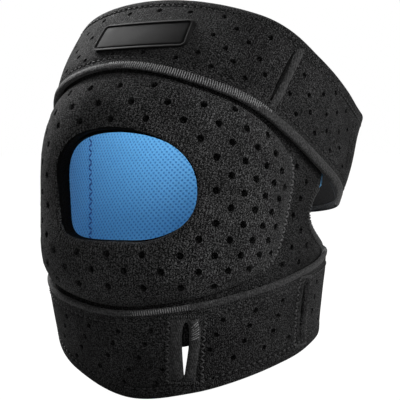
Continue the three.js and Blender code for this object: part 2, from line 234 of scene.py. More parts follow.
def pad_norm(side, level):
    """Size of a place on a square from -1 to 1, as the pad's rounded outline counts it."""
    power = np.where((side > 0) & (level > 0), PAD_UPPER_RIGHT, PAD_ELSEWHERE)
    power = np.where((side < 0) & (level < 0), PAD_LOWER_LEFT, power)
    return (np.abs(side) ** power + np.abs(level) ** power) ** (1 / power)


def pad_span(angle):
    """Heights between which the pad lies at an angle."""
    return strap_edge("lower_top", angle) + PAD_STRAP_GAP, strap_edge("upper_bottom", angle) - PAD_STRAP_GAP


def pad_reach(angle, z):
    """0 in the middle of the pad and 1 at its rim."""
    low, high = pad_span(angle)
    return pad_norm((angle - PAD_CENTRE) / PAD_HALF_ANGLE, 2 * (z - low) / (high - low) - 1)


def pad_rim(turn, widen):
    """Angles and heights along the pad's rim, widened by some degrees."""
    norm = pad_norm(np.cos(turn), np.sin(turn))
    angle = PAD_CENTRE + (PAD_HALF_ANGLE + widen) * np.cos(turn) / norm
    low, high = pad_span(angle)
    return angle, lerp(low, high, (1 + np.sin(turn) / norm) / 2)


def pad_height(angle, z):
    reach = np.minimum(pad_reach(angle, z), 1)
    crown = (1 - reach**PAD_CROWN_POWER) ** PAD_CROWN_FULLNESS
    return STRAP_INNER + lerp(PAD_EDGE, PAD_RISE, crown)


def pad_face(angle, z):
    return leg_point(angle, z, pad_height(angle, z))


def panel_face(angle, z):
    return leg_point(angle, z, PANEL_OUTER)


def strap_face(angle, z):
    return leg_point(angle, z, STRAP_OUTER)


def opening_droop(x):
    """How far the opening hangs lower towards its right end."""
    return OPENING_DROOP * np.maximum(x - OPENING_X, 0) / OPENING_HALF_WIDTH


def opening_outline(turn, margin):
    """Points (x, z) of the opening's outline, seen from the front."""
    across, up = np.cos(turn), np.sin(turn)
    left = np.where(up > 0, OPENING_UPPER_LEFT, OPENING_LOWER_LEFT)
    power = np.where(across > 0, OPENING_RIGHT, left)
    reach = (np.abs(across) ** power + np.abs(up) ** power) ** (1 / power)
    x = OPENING_X + (OPENING_HALF_WIDTH + margin) * across / reach
    return x, OPENING_Z + (OPENING_HALF_HEIGHT + margin) * up / reach - opening_droop(x)


def in_opening(x, z, margin):
    side, level = x - OPENING_X, z + opening_droop(x) - OPENING_Z
    turn = np.arctan2(level / OPENING_HALF_HEIGHT, side / OPENING_HALF_WIDTH)
    edge_x, edge_z = opening_outline(turn, margin)
    edge_level = edge_z + opening_droop(edge_x) - OPENING_Z
    return np.hypot(side, level) < np.hypot(edge_x - OPENING_X, edge_level)


def front_angle(x, z, height):
    """Angle at which a face of this height over the leg lies at x."""
    angle = np.zeros_like(x)
    for _ in range(ROUNDS):
        angle = np.degrees(np.arcsin(np.clip(x / (leg_radius(angle, z) + height(angle, z)), -0.98, 0.98)))
    return angle


def plain_and_hem(strap, angle):
    return strap_edge(PLAIN_EDGE[strap], angle), strap_edge(HEM_EDGE[strap], angle)


def across_scale(strap, angle):
    """Millimetres across the strap for each millimetre of height."""

    def middle(at, lift):
        return strap_face(at, sum(plain_and_hem(strap, at)) / 2 + lift)

    along = unit(middle(angle + 1, 0) - middle(angle - 1, 0))
    rise = (middle(angle, 1) - middle(angle, -1)) / (2 * MM)
    across = rise - np.sum(rise * along, axis=-1, keepdims=True) * along
    return np.linalg.norm(across, axis=-1)


def strap_level(strap, angle, share, shift):
    """Height at a share of a strap's width from its plain edge to its hem, plus millimetres across it."""
    plain, hem = plain_and_hem(strap, angle)
    width = np.abs(hem - plain) * across_scale(strap, angle)
    return lerp(plain, hem, share + shift / width)


def tangents(surface, angle, z):
    """Unit vectors round the leg and out of a surface, at some of its points."""
    step = 0.5
    around = unit(surface(angle + step, z) - surface(angle - step, z))
    return around, unit(np.cross(around, surface(angle, z + step) - surface(angle, z - step)))


def frames_on(surface, angle, z):
    """Matrices at points of a surface, with X round the leg, Y up and Z outward."""
    around, normal = tangents(surface, angle, z)
    upward = np.cross(normal, around)
    return [Matrix.Translation(origin) @ Matrix(axes).transposed().to_4x4()
            for origin, *axes in zip(surface(angle, z), around, upward, normal)]


# Meshes

def lay_net(bm, net):
    """Adds a grid of faces whose corners are the points of a net."""
    columns, rows = net.shape[0] - 1, net.shape[1] - 1
    grid = bmesh.ops.create_grid(bm, x_segments=columns, y_segments=rows, size=0.5)
    for vertex in grid["verts"]:
        column, row = round((vertex.co.x + 0.5) * columns), round((vertex.co.y + 0.5) * rows)
        vertex.co = net[column, row]


def show_mesh(name, mesh):
    mesh.shade_smooth()
    piece = bpy.data.objects.new(name, mesh)
    bpy.context.scene.collection.objects.link(piece)
    return piece


def make_piece(name, bm):
    mesh = bpy.data.meshes.new(name)
    bm.to_mesh(mesh)
    bm.free()
    return show_mesh(name, mesh)


def net_piece(name, *nets):
    """Piece whose faces are the cells of some nets, joined where the nets meet."""
    bm = bmesh.new()
    for net in nets:
        lay_net(bm, net)
    bmesh.ops.remove_doubles(bm, verts=bm.verts, dist=1e-6)
    bmesh.ops.recalc_face_normals(bm, faces=bm.faces)
    return make_piece(name, bm)


def carve(piece, cutters):
    """Cuts the closed shapes of a bmesh out of a piece."""
    tool = make_piece("cutter", cutters)
    cut = piece.modifiers.new("cut", "BOOLEAN")
    cut.operation = "DIFFERENCE"
    cut.solver = "MANIFOLD"
    cut.object = tool
    before = piece.data
    carved = piece.evaluated_get(bpy.context.evaluated_depsgraph_get())
    piece.data = bpy.data.meshes.new_from_object(carved)
    piece.data.name = piece.name
    piece.modifiers.clear()
    bpy.data.meshes.remove(before)
    bpy.data.meshes.remove(tool.data)
    piece.data.set_sharp_from_angle(angle=math.radians(45))


def perforate(piece, frames, radius, depth, sides):
    """Cuts round holes of a depth into a piece, each at the origin of a matrix and along its Z."""
    cutters = bmesh.new()
    for place in frames:
        bmesh.ops.create_cone(cutters, cap_ends=True, segments=sides, radius1=radius * MM,
                              radius2=radius * MM, depth=2 * depth * MM, matrix=place)
    carve(piece, cutters)


def mesh_points(mesh):
    points = np.empty(3 * len(mesh.vertices))
    mesh.vertices.foreach_get("co", points)
    return points.reshape(-1, 3)


def vertex_places(mesh):
    """Angle, height and distance from the middle of the leg for each vertex, in degrees and millimetres."""
    x, y, z = mesh_points(mesh).T / MM
    forward = smooth_table(LEG_LEVEL, LEG_CENTRE_Y, z) - y
    return np.degrees(np.arctan2(x, forward)), z, np.hypot(x, forward)


def lay_weave(piece):
    """UV map in millimetres, round the leg and up it, that the fabric's pattern follows."""
    mesh = piece.data
    angle, z, _ = vertex_places(mesh)
    corner_vertex = np.empty(len(mesh.loops), dtype=np.int32)
    mesh.loops.foreach_get("vertex_index", corner_vertex)
    first_corner = np.empty(len(mesh.polygons), dtype=np.int32)
    mesh.polygons.foreach_get("loop_start", first_corner)
    corner_angle = angle[corner_vertex]
    low = np.minimum.reduceat(corner_angle, first_corner)
    high = np.maximum.reduceat(corner_angle, first_corner)
    sizes = np.diff(np.append(first_corner, len(corner_vertex)))
    over_seam = np.repeat(high - low > 180, sizes)
    corner_angle = np.where(over_seam & (corner_angle < 0), corner_angle + 360, corner_angle)
    uv = np.stack([np.radians(corner_angle) * WEAVE_RADIUS, z[corner_vertex]], axis=-1)
    mesh.uv_layers.new(name="weave").data.foreach_set("uv", uv.astype(np.float32).ravel())


def paint(piece, material_index, chosen):
    """Gives a material to the faces whose corners are all chosen."""
    for polygon in piece.data.polygons:
        if all(chosen[i] for i in polygon.vertices):
            polygon.material_index = material_index


def dress(piece, slot, *materials, replaces=None):
    piece.data.materials.clear()
    for material in materials:
        piece.data.materials.append(material)
    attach(piece, "root")
    if replaces:
        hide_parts(replaces)


# Threads

def even_steps(angle, z, offset, pitch):
    """Angles and heights a pitch apart along a line over the leg."""
    points = leg_point(angle, z, offset)
    length = np.concatenate([[0], np.cumsum(np.linalg.norm(np.diff(points, axis=0), axis=1))]) / MM
    at = np.linspace(0, length[-1], int(length[-1] // pitch) + 1)
    return np.interp(at, length, angle), np.interp(at, length, z)


def sew(angle, z, face, pitch, length, width, rise, turns=(0.0,), lift=0.0, fade=None):
    """Places of stitches a pitch apart along a line on a face, turned from the line's direction. A fade gives
    their rise a share at each angle."""
    angle, z = even_steps(angle, z, face, pitch)
    if fade:
        rise = rise * fade(angle[:-1, None])

    def surface(at, level):
        return leg_point(at, level, face + lift)

    points = surface(angle, z)
    middle = (points[1:] + points[:-1]) / 2
    forward = unit(points[1:] - points[:-1])
    _, normal = tangents(surface, (angle[1:] + angle[:-1]) / 2, (z[1:] + z[:-1]) / 2)
    side = np.cross(normal, forward)
    turn = np.radians(np.resize(turns, len(middle)))[:, None]
    along = forward * np.cos(turn) + side * np.sin(turn)
    across = np.cross(normal, along)
    axes = np.stack([along * length / 2, across * width / 2, normal * rise], axis=1) * MM
    return middle, axes


def thread_piece(name, slot, material, *runs):
    """One piece of all the stitches in some runs. Each stitch is a short slender bead of thread."""
    bm = bmesh.new()
    bmesh.ops.create_uvsphere(bm, u_segments=6, v_segments=5, radius=1)
    bead = np.array([vertex.co for vertex in bm.verts])
    faces = [[vertex.index for vertex in face.verts] for face in bm.faces]
    bm.free()
    middle, axes = (np.concatenate(parts) for parts in zip(*runs))
    points = middle[:, None] + np.einsum("bi,nij->nbj", bead, axes)
    all_faces = [[corner + len(bead) * i for corner in face] for i in range(len(middle)) for face in faces]
    mesh = bpy.data.meshes.new(name)
    mesh.from_pydata(points.reshape(-1, 3).tolist(), [], all_faces)
    dress(show_mesh(name, mesh), slot, material)


# Finishes

def shade_sum(operation, reflected=False):
    """Method of a shade that adds a Math node. The reflected form has the shade second."""

    def method(self, *others):
        values = (*others, self) if reflected else (self, *others)
        return self.finish.node("ShaderNodeMath", dict(enumerate(values)), operation=operation)

    return method


class Shade:
    """A value in a finish. Sums on it add Math nodes."""

    def __init__(self, finish, socket):
        self.finish = finish
        self.socket = socket

    __add__, __radd__ = shade_sum("ADD"), shade_sum("ADD", True)
    __sub__, __rsub__ = shade_sum("SUBTRACT"), shade_sum("SUBTRACT", True)
    __mul__, __rmul__ = shade_sum("MULTIPLY"), shade_sum("MULTIPLY", True)
    __truediv__, __rtruediv__ = shade_sum("DIVIDE"), shade_sum("DIVIDE", True)
    __abs__ = shade_sum("ABSOLUTE")
    fraction = shade_sum("FRACT")
    sine = shade_sum("SINE")
    root = shade_sum("SQRT")
    least = shade_sum("MINIMUM")

    def smooth(self, start, end):
        """0 before start and 1 after end, with a soft step between."""
        inputs = {"Value": self, "From Min": start, "From Max": end}
        return self.finish.node("ShaderNodeMapRange", inputs, interpolation_type="SMOOTHSTEP")


class Finish:
    """A material, or a world, that is made of nodes."""

    def __init__(self, name, kind=bpy.data.materials):
        self.owner = kind.new(name)
        self.owner.use_nodes = True
        self.tree = self.owner.node_tree
        self.tree.nodes.clear()

    def node(self, kind, inputs=None, output=0, **settings):
        node = self.tree.nodes.new(kind)
        for key, value in settings.items():
            setattr(node, key, value)
        for key, value in (inputs or {}).items():
            if isinstance(value, Shade):
                self.tree.links.new(value.socket, node.inputs[key])
            else:
                node.inputs[key].default_value = value
        return Shade(self, node.outputs[output]) if node.outputs else node

    def weave(self):
        """Place on the weave in millimetres: round the leg, and up it."""
        uv = self.node("ShaderNodeUVMap", uv_map="weave")
        return [self.node("ShaderNodeSeparateXYZ", {0: uv}, axis) for axis in "XY"]

    def grain(self, size, detail=2.0):
        """Noise on the object's own coordinates, with features of a size in millimetres."""
        place = self.node("ShaderNodeTexCoord", output="Object")
        return self.node("ShaderNodeTexNoise", {"Vector": place, "Scale": 1 / (size * MM), "Detail": detail})

    def mix(self, factor, first, second):
        return self.node("ShaderNodeMix", {0: factor, 6: first, 7: second}, 2, data_type="RGBA")

    def surface(self, colour, roughness, height=None, depth=0.0, **constants):
        inputs = {"Base Color": colour, "Roughness": roughness}
        inputs.update({key.replace("_", " "): value for key, value in constants.items()})
        if height is not None:
            inputs["Normal"] = self.node("ShaderNodeBump", {"Height": height, "Distance": depth * MM})
        shader = self.node("ShaderNodeBsdfPrincipled", inputs)
        self.node("ShaderNodeOutputMaterial", {"Surface": shader})
        return self.owner


def grey(level):
    return (level, level, level * 1.01, 1.0)


def knit_finish(name, dark, light, wale, sheen):
    """Black knit: ribs of loops, where single loops and fibres catch the light here and there."""
    knit = Finish(name)
    round_leg, _ = knit.weave()
    wander = knit.grain(5.0)
    column = (round_leg + wander * 1.2) / wale
    ridge = abs((column * math.pi).sine())
    loop = knit.grain(0.56, 2.0).smooth(0.43, 0.61)
    fibre = knit.grain(0.4, 2.0).smooth(0.4, 0.62)
    cloud = knit.grain(16.0).smooth(0.3, 0.7)
    shine = (ridge * 0.5 + 0.5) * (loop * 0.93 + 0.07) * (fibre * 0.6 + 0.4) * (cloud * 0.4 + 0.7)
    colour = knit.mix(shine, grey(dark), grey(light))
    height = ridge * 0.4 + loop * 0.6 + fibre * 0.25
    return knit.surface(colour, 0.95 - shine * 0.3, height, 0.4,
                        Sheen_Weight=sheen, Sheen_Roughness=0.4, Specular_IOR_Level=0.05)


def jersey_finish(name, dark, light, sheen, gloss):
    """Smooth jersey of rolled hems, also near-black as painted shade at the opening and inside the straps."""
    jersey = Finish(name)
    round_leg, up_leg = jersey.weave()
    rib = ((round_leg * 1.1 + up_leg * 0.3) * (2 * math.pi)).sine() * 0.5 + 0.5
    fleck = jersey.grain(0.8, 3.0).smooth(0.38, 0.68)
    shine = rib * 0.25 + fleck * 0.6
    colour = jersey.mix(shine, grey(dark), grey(light))
    return jersey.surface(colour, 0.9 - shine * 0.2, rib * 0.4 + fleck, 0.14,
                          Sheen_Weight=sheen, Sheen_Roughness=0.35, Specular_IOR_Level=gloss)


def blue_mesh_finish():
    """Blue mesh: staggered small holes between crossing yarns."""
    mesh = Finish("blue_air_mesh")
    round_leg, up_leg = mesh.weave()
    cell_width, cell_height = 2.9, 2.6
    across, up = round_leg / cell_width, up_leg / cell_height

    def hole(shift):
        side = ((across + shift).fraction() - 0.5) * cell_width
        level = ((up + shift).fraction() - 0.5) * cell_height
        return (side * side + level * level * 1.5).root()

    yarn = hole(0.0).least(hole(0.5)).smooth(0.14, 0.92)
    fibre = mesh.grain(0.5, 3.0)
    tone = mesh.mix(fibre.smooth(0.3, 0.7), (0.06, 0.265, 0.53, 1), (0.1, 0.355, 0.63, 1))
    colour = mesh.mix(yarn, (0.028, 0.145, 0.34, 1), tone)
    return mesh.surface(colour, 0.8 - yarn * 0.15, yarn + fibre * 0.3, 0.25,
                        Sheen_Weight=0.15, Specular_IOR_Level=0.3)


def thread_finish(name, dark, light):
    thread = Finish(name)
    strand = thread.grain(0.35, 2.0)
    colour = thread.mix(strand.smooth(0.35, 0.7), dark, light)
    return thread.surface(colour, 0.7 - strand * 0.1, strand, 0.05,
                          Sheen_Weight=0.04, Specular_IOR_Level=0.25)


def rubber_finish():
    rubber = Finish("matt_rubber")
    pebble = rubber.grain(0.45, 2.0)
    smear = rubber.grain(6.0)
    colour = rubber.mix(smear.smooth(0.35, 0.7), grey(0.002), grey(0.005))
    return rubber.surface(colour, 0.65 + smear * 0.15, pebble, 0.05, Specular_IOR_Level=0.035)


def hook_finish():
    """Hook tape: fine rows of hooks."""
    tape = Finish("hook_tape")
    round_leg, up_leg = tape.weave()
    row = ((up_leg / 0.9) * (2 * math.pi)).sine() * 0.5 + 0.5
    hook = ((round_leg / 1.1) * (2 * math.pi)).sine() * 0.5 + 0.5
    height = row * hook
    fuzz = tape.grain(0.7, 3.0)
    colour = tape.mix(height * fuzz, grey(0.01), grey(0.06))
    return tape.surface(colour, 0.75 - height * 0.2, height + fuzz * 0.3, 0.35, Specular_IOR_Level=0.4)


pad_knit = knit_finish("padded_front_knit", 0.0004, 0.074, 1.15, 0.02)
panel_knit = knit_finish("panel_knit", 0.0004, 0.045, 1.15, 0.005)
strap_knit = knit_finish("strap_knit", 0.0004, 0.045, 0.95, 0.015)
# Smooth jersey of the rolled hems and high slit lips, lighter partly as a painted highlight on the rolls
hem_jersey_and_highlight = jersey_finish("hem_jersey_and_highlight", 0.004, 0.036, 0.05, 0.15)
# Near-black cloth at the opening's edge: painted shade in place of the shadow on the opening's wall and rim
opening_painted_shade = jersey_finish("opening_painted_shade", 0.0002, 0.0012, 0.0, 0.03)
# Inside of the straps: a black backing, made near-black as painted shade on the strap's inner face
strap_backing_and_shade = jersey_finish("strap_backing_and_shade", 0.0003, 0.0015, 0.0, 0.02)
blue_mesh = blue_mesh_finish()
black_thread = thread_finish("black_thread", grey(0.002), grey(0.014))
charcoal_thread = thread_finish("charcoal_thread", grey(0.004), grey(0.027))
grey_thread = thread_finish("grey_thread", grey(0.012), grey(0.06))
# Pale overlock thread: its lightness is a painted highlight on the ribs
painted_highlight_thread = thread_finish("painted_highlight_thread", grey(0.04), grey(0.15))
navy_thread = thread_finish("navy_thread", (0.012, 0.05, 0.18, 1), (0.03, 0.11, 0.33, 1))
matt_rubber = rubber_finish()
hook_tape = hook_finish()


# Padded front

def pad_perforations():
    row, column = (x.ravel() for x in np.meshgrid(np.arange(0, ROW_LAST + 1), np.arange(-8, 9)))
    down = row / ROW_LAST
    column = column + 0.5 * (row % 2)
    past = np.maximum(column - COLUMNS_EVEN, 0)
    crowded = np.minimum(column, COLUMNS_EVEN) + past / (1 + COLUMN_CROWDING * down * past)
    angle = lerp(*COLUMN_START, down) + lerp(*COLUMN_STEP, down) * crowded
    z = lerp(*ROW_LEVEL, down) - lerp(*ROW_ARCH, down) * (angle - ARCH_ANGLE) ** 2
    place = pad_face(angle, z) / MM
    inside = (pad_reach(angle, z) < HOLES_REACH) & (angle < HOLES_RIGHT)
    keep = inside & ~in_opening(place[:, 0], z, HOLES_FROM_OPENING)
    return angle[keep], z[keep]


def rim_station(turn, margin, sink, share):
    """Angles, heights and offsets round the opening, at a share of the way up from the pad's underside to
    some millimetres under its face."""

    def height(at, level):
        return lerp(STRAP_INNER, pad_height(at, level) - sink, share)

    x, z = opening_outline(turn, margin)
    angle = front_angle(x, z, height)
    return angle, z, height(angle, z)


def padded_front():
    columns = 300
    turn = np.linspace(0, 2 * math.pi, columns + 1)
    turn[-1] = 0

    # Wall of the opening, up to where it rolls over, and the roll of the rim
    stations = [rim_station(turn, 0, OPENING_ROLL, share) for share in np.linspace(0, 1, 5)[:-1]]
    for bend in np.radians(np.linspace(0, 90, 8)):
        margin, sink = OPENING_ROLL * (1 - math.cos(bend)), OPENING_ROLL * (1 - math.sin(bend))
        stations.append(rim_station(turn, margin, sink, 1))

    # Dome, from the rim to the perimeter
    rim_row = len(stations) - 1
    near_angle, near_z, _ = stations[rim_row]
    far_angle, far_z = pad_rim(turn, 0)
    hole_angle, hole_z = pad_perforations()
    holes = pad_face(hole_angle, hole_z)
    for share in np.sin(np.linspace(0, math.pi / 2, 40))[1:]:
        angle, z = lerp(near_angle, far_angle, share), lerp(near_z, far_z, share)
        away = np.min(np.linalg.norm(pad_face(angle, z)[:, None] - holes, axis=-1), axis=1) / MM
        dimple = DIMPLE_DEPTH * np.exp(-((away / DIMPLE_SPREAD) ** 2))
        stations.append((angle, z, pad_height(angle, z) - dimple))

    # Perimeter and underside
    dome_end = len(stations)
    foot_angle, foot_z, _ = stations[0]
    for share in np.linspace(1, 0, 16):
        angle, z = lerp(foot_angle, far_angle, share), lerp(foot_z, far_z, share)
        stations.append((angle, z, np.full_like(z, STRAP_INNER)))

    net = np.stack([leg_point(*station) for station in stations], axis=1)
    swell(net[:, rim_row:dome_end])
    pad = net_piece("padded_front", net)
    perforate(pad, frames_on(pad_face, hole_angle, hole_z), PAD_HOLE_RADIUS, PAD_HOLE_DEPTH, 12)
    lay_weave(pad)
    # The opening's edge gets painted shade: near-black cloth in place of its shadow
    dress(pad, "padded_knit", pad_knit, opening_painted_shade, replaces="knee_pad")
    paint_opening_shade(pad, PAD_OPENING_SHADE, PAD_OPENING_SHADE_BELOW)


def swell(face):
    """Moves the net of the pad's face to where it settles as cloth under pressure, held at both rims."""
    sheet = face[::SWELL_COLUMNS]
    cloth = net_piece("pad_face_cloth", sheet)
    rest = mesh_points(cloth.data)
    nearest = np.array([np.linalg.norm(column[:, None] - rest, axis=-1).argmin(axis=1) for column in sheet])
    held = cloth.vertex_groups.new(name="held")
    held.add(np.unique(nearest[:, [0, 1, -2, -1]]).tolist(), 1.0, "REPLACE")
    settings = cloth.modifiers.new("cloth", "CLOTH").settings
    settings.vertex_group_mass = "held"
    settings.tension_stiffness = SWELL_STIFFNESS
    settings.compression_stiffness = SWELL_STIFFNESS
    settings.shear_stiffness = SWELL_STIFFNESS
    settings.use_pressure = True
    settings.uniform_pressure_force = SWELL_PRESSURE
    settings.effector_weights.gravity = 0
    scene = bpy.context.scene
    for step in range(1, SWELL_STEPS + 1):
        scene.frame_set(step)
    settled = mesh_points(cloth.evaluated_get(bpy.context.evaluated_depsgraph_get()).data)
    scene.frame_set(1)
    bpy.data.meshes.remove(cloth.data)
    move = settled - rest
    length = np.linalg.norm(move, axis=-1, keepdims=True)
    move = (move * np.minimum(1, SWELL_MOST * MM / np.maximum(length, 1e-9)))[nearest]
    at = np.arange(len(face)) / SWELL_COLUMNS
    before = np.minimum(at.astype(int), len(sheet) - 2)
    face += lerp(move[before], move[before + 1], (at - before)[:, None, None])


def paint_opening_shade(piece, margin, margin_below):
    """Paints shade on the opening's edge: near-black cloth out to a margin that changes towards the bottom.
    """
    x, y, z = mesh_points(piece.data).T / MM
    below = np.clip((OPENING_Z - z) / OPENING_HALF_HEIGHT, 0, 1)
    paint(piece, 1, in_opening(x, z, lerp(margin, margin_below, below)) & (y < 0))


# Panel and its lining

def wall_nets(inner, outer, columns, rows):
    """Outer and inner nets of a wrapped wall that meet along its rounded borders."""
    u, v = np.linspace(0, 1, columns + 1)[:, None], np.linspace(0, 1, rows + 1)[None, :]
    angle = lerp(PANEL_BACK, PANEL_RIGHT, u) + 0 * v
    low = lerp(strap_edge("lower_top", angle), strap_edge("lower_bottom", angle), UNDER_LOWER)
    high = lerp(strap_edge("upper_bottom", angle), strap_edge("upper_top", angle), UNDER_UPPER)
    z = lerp(low, high, v)
    side = np.minimum(u, 1 - u) * columns
    level = np.minimum(v, 1 - v) * rows
    fullness = np.sqrt(1 - (1 - np.clip(np.minimum(side, level) / 1.5, 0, 1)) ** 2)
    middle, half = (inner + outer) / 2, (outer - inner) / 2 * fullness
    return leg_point(angle, z, middle + half), leg_point(angle, z, middle - half)


def raise_cutter(bm, ring, way):
    """Makes a bar of the face on a ring of vertices."""
    face = next(iter(set.intersection(*(set(vertex.link_faces) for vertex in ring))))
    raised = bmesh.ops.extrude_face_region(bm, geom=[face])["geom"]
    bmesh.ops.translate(bm, verts=[x for x in raised if isinstance(x, bmesh.types.BMVert)], vec=way)
    bmesh.ops.recalc_face_normals(bm, faces=bm.faces)


def opening_bar(bm, margin):
    """Adds a straight bar to the middle of the leg: the opening's outline, wider at the left and below."""
    length = 0.15
    ring = bmesh.ops.create_circle(bm, cap_ends=True, segments=120, radius=1)["verts"]
    for vertex in ring:
        across, up = vertex.co.x, vertex.co.y
        x, z = opening_outline(np.float64(math.atan2(up, across)), margin)
        x -= WALL_OPENING_LEFT * max(-across, 0)
        z -= WALL_OPENING_BELOW * max(-up, 0) * (1 - across) / 2
        vertex.co = (x * MM, -length, z * MM)
    raise_cutter(bm, ring, (0, length, 0))


def bow(start, pull, end, steps):
    """Points of a curve that leaves start towards pull and comes from it to end."""
    t = np.linspace(0, 1, steps + 1)[1:, None]
    return np.array(start) * (1 - t) ** 2 + 2 * np.array(pull) * t * (1 - t) + np.array(end) * t**2


def waist_line(peek):
    """Right edge of the panel from below, as points (y, z). The lining peeks out past it."""
    head = (WAIST_HEAD[0] + peek, WAIST_HEAD[1])
    return np.concatenate([[WAIST_FOOT], bow(WAIST_FOOT, WAIST_FOOT_PULL, WAIST_DEEPEST, 16),
                           bow(WAIST_DEEPEST, WAIST_HEAD_PULL, head, 12), [WAIST_TOP]])


def waist_bar(bm, peek):
    """Adds the bar that cuts the waist into the panel's right edge."""
    clear = 100.0
    outline = [(clear, WAIST_FOOT[1]), *waist_line(peek), (clear, WAIST_TOP[1])]
    ring = [bm.verts.new((0, y * MM, z * MM)) for y, z in outline]
    bm.faces.new(ring)
    raise_cutter(bm, ring, (clear * MM, 0, 0))


def wrapped_wall(name, inner, outer, columns, rows, margin, peek):
    wall = net_piece(name, *wall_nets(inner, outer, columns, rows))
    for add_bar, size in ((opening_bar, margin), (waist_bar, peek)):
        cutters = bmesh.new()
        add_bar(cutters, size)
        carve(wall, cutters)
    return wall


def edge_angle(y, z, offset):
    """Angle at which the right side of the leg, offset millimetres out, lies at y."""
    angle = np.full_like(y, 90.0)
    middle = smooth_table(LEG_LEVEL, LEG_CENTRE_Y, z)
    for _ in range(ROUNDS):
        angle = np.degrees(np.arccos(np.clip((middle - y) / (leg_radius(angle, z) + offset), -1, 1)))
    return angle


def panel_perforations():
    row, column = (x.ravel() for x in np.meshgrid(np.arange(-1, 16), np.arange(-14, 10)))
    z = ROW_LEVEL[0] - row * PANEL_HOLE_ROW
    arc = (column + 0.5 * (row % 2)) * PERFORATION_PITCH
    angle = np.degrees(arc / (leg_radius(PAD_CENTRE, z) + PAD_RISE))
    line_y, line_z = waist_line(0).T
    right = np.interp(z, line_z, edge_angle(line_y, line_z, PANEL_OUTER))
    below = z < strap_edge("upper_bottom", angle) - HOLES_FROM_STRAP
    above = z > strap_edge("lower_top", angle) + HOLES_FROM_STRAP
    between = (angle > PANEL_BACK + HOLES_FROM_BACK) & (angle < right - HOLES_FROM_WAIST)
    keep = below & above & between & (pad_reach(angle, z) > HOLES_PAD_REACH)
    return angle[keep], z[keep]


def wrap_panel():
    panel = wrapped_wall("wrap_panel", PANEL_INNER, PANEL_OUTER, 240, 84, PANEL_OPENING_MARGIN, 0)
    perforate(panel, frames_on(panel_face, *panel_perforations()), PANEL_HOLE_RADIUS, PANEL_HOLE_DEPTH, 10)
    lay_weave(panel)
    dress(panel, "neoprene", panel_knit, opening_painted_shade, replaces="body_panel")
    # Painted shade on the panel at the opening's edge
    paint_opening_shade(panel, WALL_OPENING_LEFT, WALL_OPENING_LEFT)


def mesh_lining():
    lining = wrapped_wall("mesh_lining", LINING_INNER, LINING_OUTER, 180, 60,
                          LINING_OPENING_MARGIN, LINING_PEEK)
    lay_weave(lining)
    dress(lining, "blue_mesh", blue_mesh, replaces="panel_lining")


# Straps

def strap_section(make):
    """Stations round a strap: share of its width from the plain edge to the hem, millimetres across from
    there, and height over its inner face."""
    roll, crest, groove, plain_groove = make.roll, make.crest, make.hem_groove, make.plain_groove
    thick = STRAP_OUTER - STRAP_INNER
    inner = [(0, 1.0, 0.0)] + [(share, 0, 0.0) for share in np.linspace(0.1, 0.9, 9)] + [(1, -2 * roll, 0.1)]
    bead = []
    for bend in np.radians(np.linspace(-80, 80, 10)):
        bead.append((1, -roll * (1 - math.cos(bend)), crest - roll + roll * math.sin(bend)))
    for share in np.linspace(0, 1, 8):
        height = lerp(thick, crest, 0.5 + 0.5 * math.cos(math.pi * share))
        bead.append((1, -make.flat - make.fall * share, height))
    band = [(1, -groove + 0.9, 2.95), (1, -groove + 0.35, 2.7), (1, -groove, 2.5), (1, -groove - 0.35, 2.7),
            (1, -groove - 1.0, thick)]
    web = [(share, 0, thick) for share in np.linspace(0.74, 0.2, 26)]
    hem = [(0, plain_groove + 1.0, thick), (0, plain_groove + 0.45, 2.6), (0, plain_groove, 2.25),
           (0, plain_groove - 0.45, 2.65), (0, plain_groove - 1.1, 3.05), (0, 2.0, 3.05), (0, 1.1, 2.98),
           (0, 0.5, 2.85), (0, 0.12, 2.45), (0, 0.0, 1.8), (0, 0.1, 1.0), (0, 0.5, 0.25)]
    return np.array(inner + bead + band + web + hem)


def slits_of(strap):
    return [slit for slit in SLITS if slit.strap == strap]


def slit_rise(slit, z):
    """0 at a slit's lower end and 1 at its upper end."""
    return (z - slit.low) / (slit.high - slit.low)


def slit_line(slit, z):
    """Angle of a slit's line at a height."""
    return lerp(slit.low_angle, slit.high_angle, slit_rise(slit, z))


def beside_slit(slit, angle, z):
    """Millimetres round the leg from a slit's line."""
    return np.radians(angle - slit_line(slit, z)) * WEAVE_RADIUS


def slit_gape(slit, z):
    """Half the width of a slit at a height: it opens from its lower end and closes at both."""
    rise = np.clip(slit_rise(slit, z), 0, 1)
    ends = np.sqrt(np.maximum(1 - (2 * rise - 1) ** 2, 0))
    return slit.width / 2 * (1 - slit.taper * (1 - rise)) * ends


def lip_width(slit):
    return LIP_WIDTH + LIP_WIDTH_GAIN * slit.width


def slit_lips(strap, angle, z):
    """How far the rolled lips beside the slits stand out, and how deep the seams beside them lie."""
    lift = np.zeros_like(z)
    for slit in slits_of(strap):
        beside = beside_slit(slit, angle, z)
        away = np.abs(beside)
        rise = np.clip(slit_rise(slit, z), 0, 1)
        ends = np.clip((z - slit.low + 2.5) / 3, 0, 1) * np.clip((slit.high + 2.5 - z) / 3, 0, 1)
        across = np.clip((away - slit_gape(slit, z)) / lip_width(slit), 0, 1)
        roll = np.where(beside > 0, slit.right_lip * (0.6 + 0.4 * rise), slit.left_lip)
        lips = roll * np.sqrt(4 * across * (1 - across))
        seam = -0.3 * np.exp(-(((away - slit.band + 0.6) / 0.6) ** 2))
        lift += ends * (lips + seam)
    return lift


def strap_ease(strap, angle, z):
    """How far the worn strap stands off the right flank, or lies closer to it."""
    return sum(
        amount * np.exp(-(((angle - middle) / spread) ** 2) - ((z - level) / height) ** 2)
        for amount, middle, spread, level, height in STRAP_EASE[strap]
    )


def strap_wave(strap, angle, z):
    """Slight unevenness of the worn cloth. It fades under the patch at the front."""
    turn = np.radians(angle)
    phase = 0.0 if strap == "upper" else 1.7
    calm = 1 - np.exp(-((angle / 22) ** 2))
    wide, fine = np.sin(5 * turn + phase) * np.cos(z * 0.09 + 2 * turn), np.sin(11 * turn + z * 0.13)
    return STRAP_WAVE * calm * (wide + 0.6 * fine)


